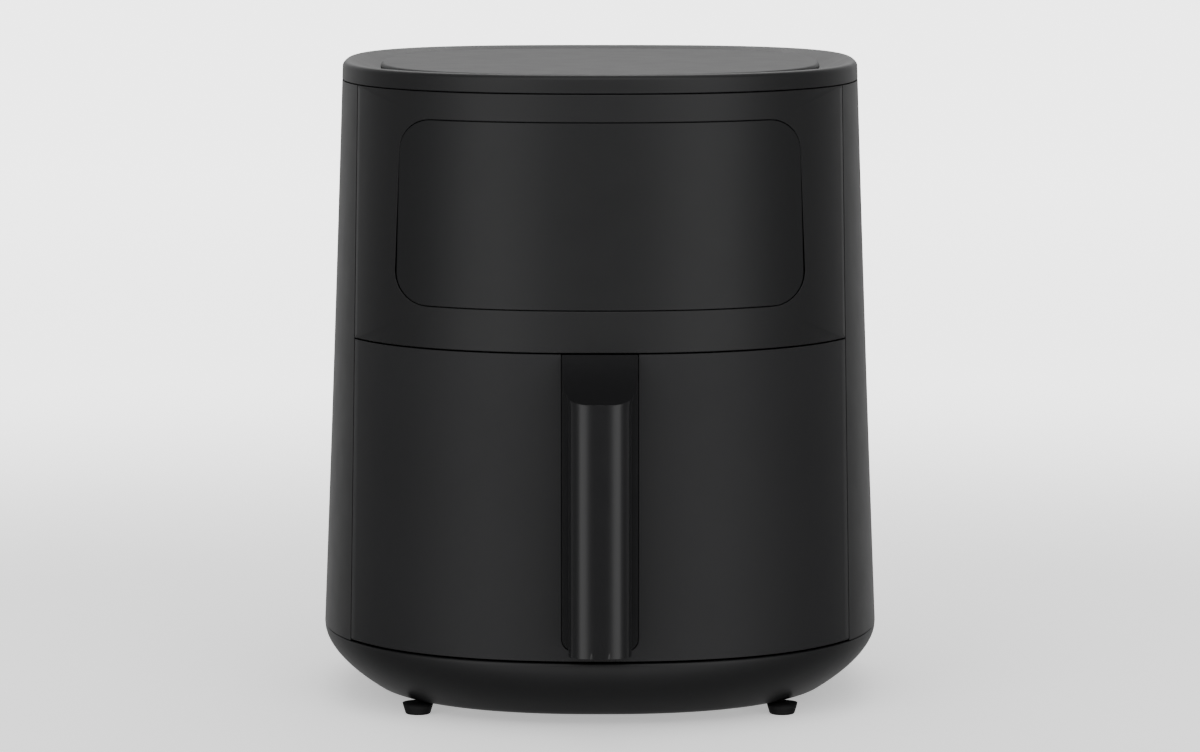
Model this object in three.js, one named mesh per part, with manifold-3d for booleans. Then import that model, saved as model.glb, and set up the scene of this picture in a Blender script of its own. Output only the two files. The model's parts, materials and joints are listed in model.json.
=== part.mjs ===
// Basket air fryer: an oval housing with a slide-out drawer, a lift-out crisper plate and a hot-air rotor.
// Units are millimetres, +Z is up and the front faces -Y.
import * as THREE from 'three';
import { mergeVertices } from 'three/addons/utils/BufferGeometryUtils.js';
import Module from 'manifold-3d';

const wasm = await Module();
wasm.setup();

// ---- Driving dimensions ----
const HALF_WIDTH = 155; // widest plan half-width, at the shoulder
const HALF_DEPTH = 165; // plan half-depth at the shoulder
const DEPTH_RATIO = HALF_DEPTH / HALF_WIDTH;
const FRONT_POWER = 2.3; // plan superellipse exponent, front half
const BACK_POWER = 2.9; // and back half, which is squarer
const HOUSING_Y = 17.8; // moves the housing back so the handle and gland balance about the origin

const FOOT_H = 6.2;
const BASE_Z = 6.5; // underside of the base tray
const SHOULDER_Z = 40;
const DRAWER_TOP = 206;
const SEAM_Z = 344.4; // where the top ring starts
const TOP_Z = 354.3;
const WALL = 2.6;
const GAP = 0.4; // fit gap between neighbouring pieces

const SEAM_HALF_TOP = 132.5; // half-width of the front opening at the ring
const SEAM_HALF_BOTTOM = 137; // and at the shoulder

const LENS_TOP = 328.7;
const LENS_BOTTOM = 229.2;
const LENS_HALF_TOP = 107.6;
const LENS_HALF_BOTTOM = 110.3;
const LENS_CORNER = 17;
const LENS_DEPTH = 1.8;

const FLOOR_Z = 43; // bay floor, upper face
const SILL_Z = 39.5; // front sill, upper face
const BAY_HALF = 128;
const BAY_DEPTH_HALF = 141;

const PAN_HALF = 121; // outer half-width of the pan rim
const PAN_DEPTH_RATIO = 119 / PAN_HALF;
const PAN_POWER = 5;
const PAN_Y = 8;
const PAN_BOTTOM = 50;
const PAN_TOP = 200.5;

const HANDLE_HALF = 20.3;
const HANDLE_PROUD = 42;
const HANDLE_FRONT = 24; // the handle's sides run straight out to here, and its front is rounded beyond
const HANDLE_POWER = 3; // superellipse exponent of that rounded front
const HANDLE_LENGTH = 158;
const GRIP_HALF = 16.8; // half-width of the grip below the thumb scoop
const WAIST_TOP = 8; // the handle narrows between these two depths below its top
const WAIST_LOW = 27;
const SCOOP_R = 139; // thumb scoop: radius, and place of its axis in the handle's frame
const SCOOP_PROUD = 88.4;
const SCOOP_Z = 107.3;
const FINGER_TOP = 44; // the finger gap runs between these two depths below the handle's top
const FINGER_LOW = 144;
const CHANNEL_HALF = 20.8;
const CHANNEL_BOTTOM = 46.5;
const GRIP_BACK = 23; // distance of the finger gap's outer wall from the panel

const PLATE_Z = 61.2; // crisper plate, underside
const FAN_R = 58;

const SEGMENTS = 40;

// ---- Shape helpers ----

/** Half-width of the outer surface at height z: a slight taper that eases off upwards. */
function halfWidthAt(z) {
  const rise = z - SHOULDER_Z;
  return HALF_WIDTH - 0.041 * rise + 1.3e-5 * rise * rise;
}

/** Half-width of the front opening at height z. */
function seamHalfAt(z) {
  const share = (z - SHOULDER_Z) / (SEAM_Z - SHOULDER_Z);
  return THREE.MathUtils.lerp(SEAM_HALF_BOTTOM, SEAM_HALF_TOP, share);
}

/** Merges shared vertices, drops collapsed triangles and turns the faces outwards. */
function closedMesh(geometry) {
  const bare = geometry.index ? geometry.clone() : mergeVertices(geometry, 1e-4);
  for (const name of Object.keys(bare.attributes)) {
    if (name !== 'position') bare.deleteAttribute(name);
  }
  const merged = mergeVertices(bare, 1e-4);
  const place = merged.attributes.position.array;
  const kept = [];
  let volume = 0;
  for (let i = 0; i < merged.index.count; i += 3) {
    const [a, b, c] = [0, 1, 2].map((k) => merged.index.getX(i + k));
    if (a === b || b === c || a === c) continue;
    kept.push(a, b, c);
    const [p, q, r] = [a, b, c].map((k) => new THREE.Vector3().fromArray(place, 3 * k));
    volume += p.dot(q.cross(r));
  }
  if (volume < 0) kept.reverse();
  return { vertProperties: new Float32Array(place), triVerts: new Uint32Array(kept) };
}

/** A closed three.js geometry as a solid that can be cut and joined. */
function solid(geometry) {
  return new wasm.Manifold(new wasm.Mesh({ numProp: 3, ...closedMesh(geometry) }));
}

/** A solid's surface as a three.js geometry. */
function toGeometry(body) {
  const mesh = body.getMesh();
  const geometry = new THREE.BufferGeometry();
  geometry.setAttribute('position', new THREE.BufferAttribute(Float32Array.from(mesh.vertProperties), 3));
  geometry.setIndex([...mesh.triVerts]);
  return geometry;
}

/** Turns a [half-width, height] profile about Z, then bends its circle into the oval plan. */
function planSolid(profile, options = {}) {
  const { ratio = DEPTH_RATIO, front = FRONT_POWER, back = BACK_POWER, y = 0, segments = SEGMENTS } = options;
  const points = profile.map(([r, z]) => new THREE.Vector2(r, z));
  const geometry = new THREE.LatheGeometry(points, segments);
  geometry.rotateX(Math.PI / 2);
  const place = geometry.attributes.position;
  for (let i = 0; i < place.count; i += 1) {
    const r = Math.hypot(place.getX(i), place.getY(i));
    const u = r > 0 ? place.getX(i) / r : 0;
    const v = r > 0 ? place.getY(i) / r : 0;
    const power = 2 / (v < 0 ? front : back);
    const bend = (c) => (Math.abs(c) < 1e-9 ? 0 : Math.sign(c) * Math.abs(c) ** power);
    place.setXY(i, r * bend(u), r * ratio * bend(v) + y);
  }
  return solid(geometry);
}

/** A closed profile, last point joined to the first. */
const ring = (points) => [...points, points[0]];

/** The housing's wall between two heights and two inward offsets. */
function wallBand(bottom, top, outer, inner, steps = 3) {
  const heights = Array.from({ length: steps + 1 }, (_, i) => THREE.MathUtils.lerp(bottom, top, i / steps));
  const outside = heights.map((z) => [halfWidthAt(z) - outer, z]);
  const inside = heights.map((z) => [halfWidthAt(z) - inner, z]).reverse();
  return planSolid(ring([...outside, ...inside]));
}

const box = (x0, x1, y0, y1, z0, z1) =>
  solid(new THREE.BoxGeometry(x1 - x0, y1 - y0, z1 - z0)
    .translate((x0 + x1) / 2, (y0 + y1) / 2, (z0 + z1) / 2));

const tube = (radius, z0, z1, x = 0, y = 0, segments = 32) =>
  solid(new THREE.CylinderGeometry(radius, radius, z1 - z0, segments)
    .rotateX(Math.PI / 2)
    .translate(x, y, (z0 + z1) / 2));

const tubeY = (radius, y0, y1, x, z, segments = 24) =>
  solid(new THREE.CylinderGeometry(radius, radius, y1 - y0, segments).translate(x, (y0 + y1) / 2, z));

const tubeX = (radius, x0, x1, y, z, segments = 96) =>
  solid(new THREE.CylinderGeometry(radius, radius, x1 - x0, segments)
    .rotateZ(Math.PI / 2)
    .translate((x0 + x1) / 2, y, z));

/** Extrudes an outline drawn in X and Z along Y, from y0 to y1. */
function prismY(outline, y0, y1, curveSegments = 8) {
  const geometry = new THREE.ExtrudeGeometry(outline, { depth: y1 - y0, bevelEnabled: false, curveSegments });
  return solid(geometry.rotateX(Math.PI / 2).translate(0, y1, 0));
}

/** Extrudes an outline drawn in Y and Z along X, from x0 to x1. */
function prismX(outline, x0, x1, curveSegments = 5) {
  const geometry = new THREE.ExtrudeGeometry(outline, { depth: x1 - x0, bevelEnabled: false, curveSegments });
  return solid(geometry.rotateX(Math.PI / 2).rotateZ(Math.PI / 2).translate(x0, 0, 0));
}

/** Extrudes an outline drawn in X and Y along Z, from z0 to z1. */
function prismZ(outline, z0, z1, curveSegments = 12) {
  const geometry = new THREE.ExtrudeGeometry(outline, { depth: z1 - z0, bevelEnabled: false, curveSegments });
  return solid(geometry.translate(0, 0, z0));
}

/** A four-cornered outline with round corners. */
function roundedOutline(points, radius) {
  const corners = points.map(([a, b]) => new THREE.Vector2(a, b));
  const outline = new THREE.Shape();
  corners.forEach((corner, i) => {
    const before = corners[(i + 3) % 4].clone().sub(corner).setLength(radius).add(corner);
    const after = corners[(i + 1) % 4].clone().sub(corner).setLength(radius).add(corner);
    if (i === 0) outline.moveTo(before.x, before.y);
    else outline.lineTo(before.x, before.y);
    outline.quadraticCurveTo(corner.x, corner.y, after.x, after.y);
  });
  outline.closePath();
  return outline;
}

/** A round-cornered outline whose left and right edges lean. */
const roundedTrapezoid = (halfBottom, halfTop, low, high, radius) =>
  roundedOutline([[-halfBottom, low], [halfBottom, low], [halfTop, high], [-halfTop, high]], radius);

/** The wedge in front of the housing, between its two seams, shrunk by a margin. */
function frontWedge(bottom, top, margin) {
  const low = seamHalfAt(bottom) - margin;
  const high = seamHalfAt(top) - margin;
  const outline = new THREE.Shape([
    new THREE.Vector2(-low, bottom), new THREE.Vector2(low, bottom),
    new THREE.Vector2(high, top), new THREE.Vector2(-high, top),
  ]);
  return prismY(outline, -220, -20);
}

const lensOutline = (margin) => roundedTrapezoid(
  LENS_HALF_BOTTOM + margin, LENS_HALF_TOP + margin, LENS_BOTTOM - margin, LENS_TOP + margin,
  LENS_CORNER + margin,
);

// ---- Finishes ----
const finish = (color, roughness, metalness) => ({ color, roughness, metalness });
const BODY = finish(0x222224, 0.5, 0);
const LENS = finish(0x141517, 0.08, 0);
const DARK = finish(0x171719, 0.6, 0);
const PANEL = finish(0x2c2c2e, 0.55, 0);
const COATED = finish(0x2b2d33, 0.35, 0.6);
const STEEL = finish(0xb4b6ba, 0.3, 1);
const RUBBER = finish(0x111111, 0.85, 0);
const BOARD = finish(0x1f5a38, 0.5, 0);

const group = new THREE.Group();
group.position.y = HOUSING_Y;

/** Adds one named piece to its parent, with a material of its own. */
function add(name, body, look, parent = group) {
  const mesh = new THREE.Mesh(toGeometry(body), new THREE.MeshStandardMaterial(look));
  mesh.name = name;
  parent.add(mesh);
  return mesh;
}

// ---- Housing shells ----

const VENT_LOW = 236;
const VENT_HIGH = 304;
const VENT_HALF = 52;
const ventOutline = (margin) =>
  roundedTrapezoid(VENT_HALF + margin, VENT_HALF + margin, VENT_LOW - margin, VENT_HIGH + margin, 8);

add('outer_shell',
  wallBand(SHOULDER_Z + GAP, SEAM_Z - GAP, 0, WALL)
    .subtract(frontWedge(SHOULDER_Z - 5, SEAM_Z + 5, 0))
    .subtract(prismY(ventOutline(GAP), 60, 200, 4)),
  BODY);

/** The exhaust vent in the back wall: a curved plate with level slots. */
function rearVent() {
  let vent = wallBand(VENT_LOW - 1, VENT_HIGH + 1, 0.6, WALL).intersect(prismY(ventOutline(0), 60, 200, 4));
  const pitch = 11;
  for (let z = VENT_LOW + 6; z < VENT_HIGH - 5; z += pitch) {
    vent = vent.subtract(box(-VENT_HALF + 7, -3, 100, 200, z, z + 5));
    vent = vent.subtract(box(3, VENT_HALF - 7, 100, 200, z, z + 5));
  }
  return vent;
}
add('rear_vent', rearVent(), DARK);

const FASCIA_WALL = 3.4; // thicker than the shell, because the lens is let into it
const DISPLAY_HALF = 60; // window behind the lens for the display
const DISPLAY_LOW = 258;
const DISPLAY_HIGH = 306;
const lensRecess = wallBand(LENS_BOTTOM - 4, LENS_TOP + 4, -1, LENS_DEPTH + GAP)
  .intersect(prismY(lensOutline(0.5), -220, -60));
const displayWindow = roundedTrapezoid(DISPLAY_HALF, DISPLAY_HALF, DISPLAY_LOW, DISPLAY_HIGH, 6);
add('front_fascia',
  wallBand(DRAWER_TOP + GAP, SEAM_Z - GAP, 0, FASCIA_WALL)
    .intersect(frontWedge(DRAWER_TOP - 5, SEAM_Z + 5, GAP))
    .subtract(lensRecess)
    .subtract(prismY(displayWindow, -220, -60, 3)),
  BODY);

add('display_lens',
  wallBand(LENS_BOTTOM - 4, LENS_TOP + 4, 0.15, LENS_DEPTH).intersect(prismY(lensOutline(0), -220, -60)),
  LENS);

add('display_board', box(-66, 66, -133, -131.4, 252, 312), BOARD);

const RING_INNER = 21;
const RING_BAND = 6; // thickness of the ring's upright band
const SEAT_DROP = 7; // depth of the groove between the ring and the inset top
const SEAT_UNDER = 9.2; // and of the seat's underside
const ringHalf = halfWidthAt(TOP_Z);
const panelHalf = ringHalf - RING_INNER;
const seatHalf = panelHalf - 5;
add('top_ring',
  planSolid(ring([
    [halfWidthAt(SEAM_Z), SEAM_Z], [ringHalf + 0.1, TOP_Z - 2.4], [ringHalf - 0.8, TOP_Z - 0.7],
    [ringHalf - 2.6, TOP_Z], [ringHalf - 5, TOP_Z - 0.4], [panelHalf + 1, TOP_Z - SEAT_DROP],
    [seatHalf, TOP_Z - SEAT_DROP], [seatHalf, TOP_Z - SEAT_UNDER], [ringHalf - RING_BAND, TOP_Z - SEAT_UNDER],
    [ringHalf - RING_BAND, SEAM_Z],
  ])),
  BODY);

const panelUnder = TOP_Z - SEAT_DROP + 0.3;
add('top_panel',
  planSolid([
    [0, panelUnder], [panelHalf, panelUnder], [panelHalf, TOP_Z - 2.6], [panelHalf - 0.9, TOP_Z - 1.5],
    [panelHalf - 2.6, TOP_Z - 1], [0, TOP_Z - 0.4],
  ]),
  PANEL);

// ---- Base ----

const FOOT_X = 100;
const FOOT_FRONT_Y = -92;
const FOOT_BACK_Y = 104;
const GLAND_Z = 24;
const BASE_SCREW_X = 72;
const BASE_SCREW_Y = 84;

const baseScrews = [-1, 1].flatMap((x) => [-1, 1].map((y) => [x * BASE_SCREW_X, y * BASE_SCREW_Y]));

/** The base tray: a dish that draws in from the shoulder to a flat underside. */
function baseTray() {
  let tray = planSolid([
    [0, BASE_Z], [121, BASE_Z], [129, 7.8], [138, 14.5], [149.5, 28], [153.6, 34.5],
    [154.9, SHOULDER_Z], [152, SHOULDER_Z], [150.4, 34.5], [146, 28.5], [134, 14.5], [0, 10],
  ]);
  tray = tray.subtract(tubeY(6.4, 130, 190, 0, GLAND_Z));
  for (const [x, y] of baseScrews) {
    tray = tray.subtract(tube(2.2, 4, 14, x, y, 16)).subtract(tube(4.4, 4, BASE_Z + 1.6, x, y, 16));
  }
  return tray;
}
add('base_tray', baseTray(), BODY);

const footProfile = [[0, 0], [6.4, 0], [7.2, 0.8], [8.5, FOOT_H], [0, FOOT_H]];
const roundFoot = { ratio: 1, front: 2, back: 2, segments: 20 };
[['front_left', -FOOT_X, FOOT_FRONT_Y], ['front_right', FOOT_X, FOOT_FRONT_Y],
  ['rear_left', -FOOT_X, FOOT_BACK_Y], ['rear_right', FOOT_X, FOOT_BACK_Y]].forEach(([side, x, y]) => {
  const foot = add(`foot_${side}`, planSolid(footProfile, roundFoot), RUBBER);
  foot.position.set(x, y, 0);
});

baseScrews.forEach(([x, y], i) => {
  add(`base_screw_${i + 1}`, tube(1.9, 7, 13, x, y, 12).add(tube(4, 5.9, 7.6, x, y, 12)), STEEL);
});

const gland = tubeY(6, 152, 164, 0, GLAND_Z)
  .add(tubeY(9, 163.6, 167, 0, GLAND_Z))
  .add(tubeY(6.8, 165, 171, 0, GLAND_Z))
  .subtract(tubeY(3.6, 140, 180, 0, GLAND_Z, 16));
add('cord_gland', gland, RUBBER);

// ---- Bay ----

const SILL_BACK = -96;
const SLOT_LENGTH = 21;
const slotRow = [-79.5, -33.5, 33.5, 79.5];

/** Y of the oval at half-width a and side distance x, front side. */
const frontY = (a, x) => -a * DEPTH_RATIO * (1 - (Math.abs(x) / a) ** FRONT_POWER) ** (1 / FRONT_POWER);

/** The front sill: a level lip with four long slots, three pegs, and a notch in its front edge. */
function frontSill() {
  const half = HALF_WIDTH - 4.8;
  let sill = planSolid([[0, SILL_Z - 2.6], [half, SILL_Z - 2.6], [half, SILL_Z], [0, SILL_Z]])
    .intersect(box(-136, 136, -200, SILL_BACK, SILL_Z - 3, SILL_Z + 1));
  for (const x of slotRow) {
    const y = frontY(half, x) + 11;
    const [start, end] = [x - SLOT_LENGTH / 2, x + SLOT_LENGTH / 2];
    sill = sill.subtract(box(start, end, y - 1.4, y + 1.4, SILL_Z - 5, SILL_Z + 1));
  }
  for (const x of [-94, 0, 94]) {
    sill = sill.add(tube(2.2, SILL_Z - 1, SILL_Z + 1.2, x, frontY(half, x) + 22, 12));
  }
  const notch = roundedTrapezoid(16, 19, -170, frontY(half, 0) + 3, 3);
  return sill.subtract(prismZ(notch, SILL_Z - 1, SILL_Z + 2, 3));
}
add('front_sill', frontSill(), DARK);

const bayPlan = { ratio: BAY_DEPTH_HALF / BAY_HALF, front: 4, back: 5 };

/** The bay floor, with a shallow oval dish in it. */
add('bay_floor',
  planSolid([[0, FLOOR_Z - 2.4], [BAY_HALF - 2.4, FLOOR_Z - 2.4], [BAY_HALF - 2.4, FLOOR_Z], [86, FLOOR_Z],
    [83, FLOOR_Z - 1], [0, FLOOR_Z - 1]], bayPlan)
    .intersect(box(-140, 140, SILL_BACK + GAP, 160, 30, 60)),
  DARK);

const LINER_TOP = 206;
const LINER_FRONT = -64;
const SWITCH_Z = 106;
add('bay_liner',
  planSolid(ring([[BAY_HALF, SHOULDER_Z + 0.4], [BAY_HALF, LINER_TOP], [BAY_HALF - 1.6, LINER_TOP],
    [BAY_HALF - 1.6, SHOULDER_Z + 0.4]]), bayPlan)
    .subtract(box(-150, 150, -200, LINER_FRONT, 30, 220))
    .subtract(tubeY(2.8, 120, 160, 0, SWITCH_Z, 16)),
  DARK);

/** One guide strip: an upright with a foot at the bottom, standing at the side of the bay mouth. */
function guideStrip(side) {
  const outline = new THREE.Shape();
  [[131.5, 41], [131.5, 203], [128.6, 203], [126.5, 52], [110, 46], [110, 43.5], [127, 43.5], [127, 41]]
    .forEach(([x, z], i) => (i ? outline.lineTo(side * x, z) : outline.moveTo(side * x, z)));
  return prismY(outline, LINER_FRONT - 11.5, LINER_FRONT - 0.6);
}
add('guide_left', guideStrip(-1), PANEL);
add('guide_right', guideStrip(1), PANEL);

const CEILING_HALF = halfWidthAt(DRAWER_TOP) - 5; // keeps the ceiling inside the shells
add('bay_ceiling',
  planSolid([[0, LINER_TOP + 0.4], [BAY_HALF - 0.3, LINER_TOP + 0.4], [BAY_HALF - 0.3, LINER_TOP + 2.2],
    [0, LINER_TOP + 2.2]], bayPlan)
    .intersect(planSolid([[0, 200], [CEILING_HALF, 200], [CEILING_HALF, 220], [0, 220]]))
    .subtract(tube(100, 200, 220, 0, PAN_Y, 48)),
  STEEL);

// ---- Hot-air head ----

const HEAD_Y = PAN_Y;
const DOME_TOP = 264;
const PROBE_X = -42; // the probe hangs through the dome, outside the fan
const PROBE_Y = -72;
const roundPlan = { ratio: 1, front: 2, back: 2, y: HEAD_Y, segments: 24 };
add('air_dome',
  planSolid(ring([
    [106, LINER_TOP + 2.6], [106, LINER_TOP + 4], [103, LINER_TOP + 4], [103, 248], [94, DOME_TOP],
    [5, DOME_TOP], [5, DOME_TOP - 1.2], [93.5, DOME_TOP - 1.2], [101.8, 247.6], [101.8, LINER_TOP + 2.6],
  ]), roundPlan)
    .subtract(tube(2.2, 250, 270, PROBE_X, HEAD_Y + PROBE_Y, 12)),
  STEEL);

/** The heater guard: three flat rings joined by spokes. */
function heaterGuard() {
  const [low, high] = [LINER_TOP + 0.6, LINER_TOP + 2];
  const rings = [[40, 46], [68, 74], [93, 99]].map(([inner, outer]) =>
    planSolid(ring([[outer, low], [outer, high], [inner, high], [inner, low]]), roundPlan));
  const spokes = [0, 60, 120, 180, 240, 300].map((turn) =>
    solid(new THREE.BoxGeometry(52, 4, high - low)
      .translate(69, 0, (low + high) / 2)
      .rotateZ(THREE.MathUtils.degToRad(turn))
      .translate(0, HEAD_Y, 0)));
  return [...rings, ...spokes].reduce((all, piece) => all.add(piece));
}
add('heater_guard', heaterGuard(), STEEL);

const heater = solid(new THREE.TorusGeometry(80, 3.6, 6, 28).translate(0, HEAD_Y, 222))
  .add(solid(new THREE.TorusGeometry(58, 3.6, 6, 24).translate(0, HEAD_Y, 222)))
  .add(box(57, 81, HEAD_Y - 3, HEAD_Y + 3, 219.5, 224.5));
add('heating_element', heater, STEEL);

const head = new THREE.Group();
head.position.y = HEAD_Y;
group.add(head);

/** A fan: a disc with a hub and upright radial blades. */
function fan(radius, discZ, bladeLow, bladeHigh, blades) {
  let wheel = tube(radius, discZ, discZ + 1.4, 0, 0, 36).add(tube(9, bladeLow, bladeHigh, 0, 0, 20));
  for (let i = 0; i < blades; i += 1) {
    const blade = new THREE.BoxGeometry(radius - 14, 1.4, bladeHigh - bladeLow)
      .rotateZ(0.35)
      .translate((radius + 10) / 2, 0, (bladeLow + bladeHigh) / 2)
      .rotateZ((i * 2 * Math.PI) / blades);
    wheel = wheel.add(solid(blade));
  }
  return wheel.subtract(tube(3.1, 200, 330, 0, 0, 20));
}
add('hot_air_fan', fan(FAN_R - 4, 250, 238, 251.4, 8), STEEL, head);
add('cooling_fan', fan(46, 306, 307, 318, 9), DARK, head);
add('motor_shaft', tube(3, 229, 322, 0, 0, 16), STEEL, head);
add('fan_nut', tube(6.5, 230, 236.5, 0, 0, 6).subtract(tube(3.1, 220, 240, 0, 0, 20)), STEEL, head);
add('motor',
  tube(34, 270, 296, 0, 0, 32).add(tube(12, 296, 302, 0, 0, 20)).subtract(tube(3.4, 260, 310, 0, 0, 20)),
  STEEL, head);
add('motor_bracket', box(-88, 88, -22, 22, 265, 267).subtract(tube(8, 260, 270, 0, 0, 20)), STEEL, head);
add('thermal_cutout', tube(9, 264.4, 274, -60, 44, 20), BODY, head);
add('temperature_probe', tube(1.9, 232, 276, PROBE_X, PROBE_Y, 12), STEEL, head);
add('power_board', box(66, 118, 0, 76, 278, 279.6), BOARD);

// ---- Door switch ----

add('door_switch',
  box(-9, 9, 144, 156, SWITCH_Z - 6, SWITCH_Z + 6).subtract(tubeY(2.4, 140, 152, 0, SWITCH_Z, 16)),
  DARK);
add('switch_plunger', tubeY(2, 130.6, 147, 0, SWITCH_Z, 16), PANEL);

// ---- Drawer ----

/** Channel in the drawer front that the handle sits in: open at the top, round at the bottom corners. */
const channelOutline = roundedTrapezoid(CHANNEL_HALF, CHANNEL_HALF, CHANNEL_BOTTOM, DRAWER_TOP + 20, 7);
add('drawer_front',
  wallBand(SHOULDER_Z + 1.2, DRAWER_TOP - GAP, 0, WALL)
    .intersect(frontWedge(SHOULDER_Z - 5, DRAWER_TOP + 5, GAP))
    .subtract(prismY(channelOutline, -200, -120)),
  PANEL);

const LEDGE_Z = 202;
/** The ledge behind the drawer front's top edge, with four slots, two pegs and a centre plate. */
function drawerLedge() {
  const half = halfWidthAt(LEDGE_Z) - WALL - 0.7;
  let ledge = planSolid([[0, LEDGE_Z - 2.4], [half, LEDGE_Z - 2.4], [half, LEDGE_Z], [0, LEDGE_Z]])
    .intersect(box(-124, 124, -200, -80, 190, 210))
    .subtract(planSolid([[0, 190], [PAN_HALF + 1, 190], [PAN_HALF + 1, 210], [0, 210]],
      { ratio: PAN_DEPTH_RATIO, front: PAN_POWER, back: PAN_POWER, y: PAN_Y }));
  for (const [x, length] of [[-101, 14], [-48.5, 19], [48.5, 19], [101, 14]]) {
    const y = frontY(half, x) + 7;
    ledge = ledge.subtract(box(x - length / 2, x + length / 2, y - 1.5, y + 1.5, 190, 210));
  }
  for (const x of [-77, 77]) {
    ledge = ledge.add(tube(4, LEDGE_Z - 1, LEDGE_Z + 1, x, frontY(half, x) + 9, 12));
  }
  const centre = box(-25, 25, frontY(half, 0) + 3.4, frontY(half, 0) + 18, LEDGE_Z - 1, LEDGE_Z + 0.8);
  return ledge.add(centre).subtract(box(-CHANNEL_HALF, CHANNEL_HALF, -170, frontY(half, 0) + 3, 190, 210));
}
add('drawer_ledge', drawerLedge(), DARK);

const coverHalf = halfWidthAt(120) - 22;
add('drawer_inner_cover',
  planSolid(ring([
    [coverHalf, 45], [coverHalf, LEDGE_Z - 2.8], [coverHalf - 2.4, LEDGE_Z - 2.8], [coverHalf - 2.4, 45],
  ]), { ratio: 0.965, front: 3.2, back: 3.2 })
    .intersect(box(-118, 118, -200, -88, 40, 210)),
  DARK);

add('pan',
  planSolid([
    [0, PAN_BOTTOM], [103, PAN_BOTTOM], [110, PAN_BOTTOM + 2.6], [113.6, PAN_BOTTOM + 9], [116, PAN_TOP - 3],
    [PAN_HALF - 0.6, PAN_TOP - 2.4], [PAN_HALF, PAN_TOP - 1.2], [PAN_HALF - 0.8, PAN_TOP], [115.6, PAN_TOP],
    [114.2, PAN_TOP - 1.6], [111.9, PAN_BOTTOM + 10], [108.6, PAN_BOTTOM + 4.2], [102.4, PAN_BOTTOM + 1.8],
    [0, PAN_BOTTOM + 1.8],
  ], { ratio: PAN_DEPTH_RATIO, front: PAN_POWER, back: PAN_POWER, y: PAN_Y }),
  COATED);

add('pan_bracket', box(-40, 40, -118.2, -112.6, 168, 186), STEEL);
add('drawer_striker', box(-6, 6, 122.2, 130.2, SWITCH_Z - 5, SWITCH_Z + 5), DARK);

// The handle leans back with the drawer front; its own frame has Z along the grip and -Y standing proud.
const PANEL_TOP_Y = frontY(halfWidthAt(DRAWER_TOP), 0);
const PANEL_LOW_Y = frontY(halfWidthAt(SHOULDER_Z + 2), 0);
const handleFrame = new THREE.Group();
handleFrame.position.set(0, PANEL_TOP_Y, DRAWER_TOP - GAP);
handleFrame.rotation.x = -Math.atan((PANEL_TOP_Y - PANEL_LOW_Y) / (DRAWER_TOP - SHOULDER_Z - 2));
group.add(handleFrame);

/** The handle's half-width at height z: full at its top, drawn in to the grip below the scoop. */
function handleHalfAt(z) {
  const fall = THREE.MathUtils.smoothstep(-z, WAIST_TOP, WAIST_LOW);
  return THREE.MathUtils.lerp(HANDLE_HALF, GRIP_HALF, fall);
}

/** The handle: a column with a rounded front, scooped at its top for the thumb and cut through behind the grip. */
function handle() {
  const outline = new THREE.Shape();
  const bend = (c) => Math.sign(c) * Math.abs(c) ** (2 / HANDLE_POWER);
  const capSteps = 16;
  outline.moveTo(-1, 0);
  for (let i = 0; i <= capSteps; i += 1) {
    const turn = (i * Math.PI) / capSteps;
    const rise = i % capSteps ? bend(Math.sin(turn)) : 0;
    outline.lineTo(-bend(Math.cos(turn)), -HANDLE_FRONT - (HANDLE_PROUD - HANDLE_FRONT) * rise);
  }
  outline.lineTo(1, 0);
  outline.closePath();
  const column = new THREE.ExtrudeGeometry(outline, { depth: HANDLE_LENGTH, bevelEnabled: false, steps: 28 });
  column.translate(0, 0, -HANDLE_LENGTH);
  const place = column.attributes.position;
  for (let i = 0; i < place.count; i += 1) place.setX(i, place.getX(i) * handleHalfAt(place.getZ(i)));
  const scoop = tubeX(SCOOP_R, -30, 30, -SCOOP_PROUD, SCOOP_Z);
  const gapSection = [
    [-GRIP_BACK, -FINGER_TOP], [-2.2, -FINGER_TOP], [-2.2, -FINGER_LOW], [-GRIP_BACK, -FINGER_LOW],
  ];
  const gap = prismX(roundedOutline(gapSection, 6), -30, 30);
  return solid(column).subtract(scoop).subtract(gap);
}
add('handle', handle(), BODY, handleFrame);
add('handle_plate',
  prismY(roundedTrapezoid(HANDLE_HALF, HANDLE_HALF, -HANDLE_LENGTH - 0.6, -0.4, 6.5), 0.4, 2.2),
  DARK, handleFrame);
[-14, -150].forEach((z, i) => {
  add(`handle_screw_${i + 1}`, tubeY(3.6, 2.6, 5.2, 0, z, 12), STEEL, handleFrame);
});

// ---- Crisper plate ----

const PLATE_HALF = 94;
const PLATE_DEPTH_HALF = 96;
const WING_REACH = 110;

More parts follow.
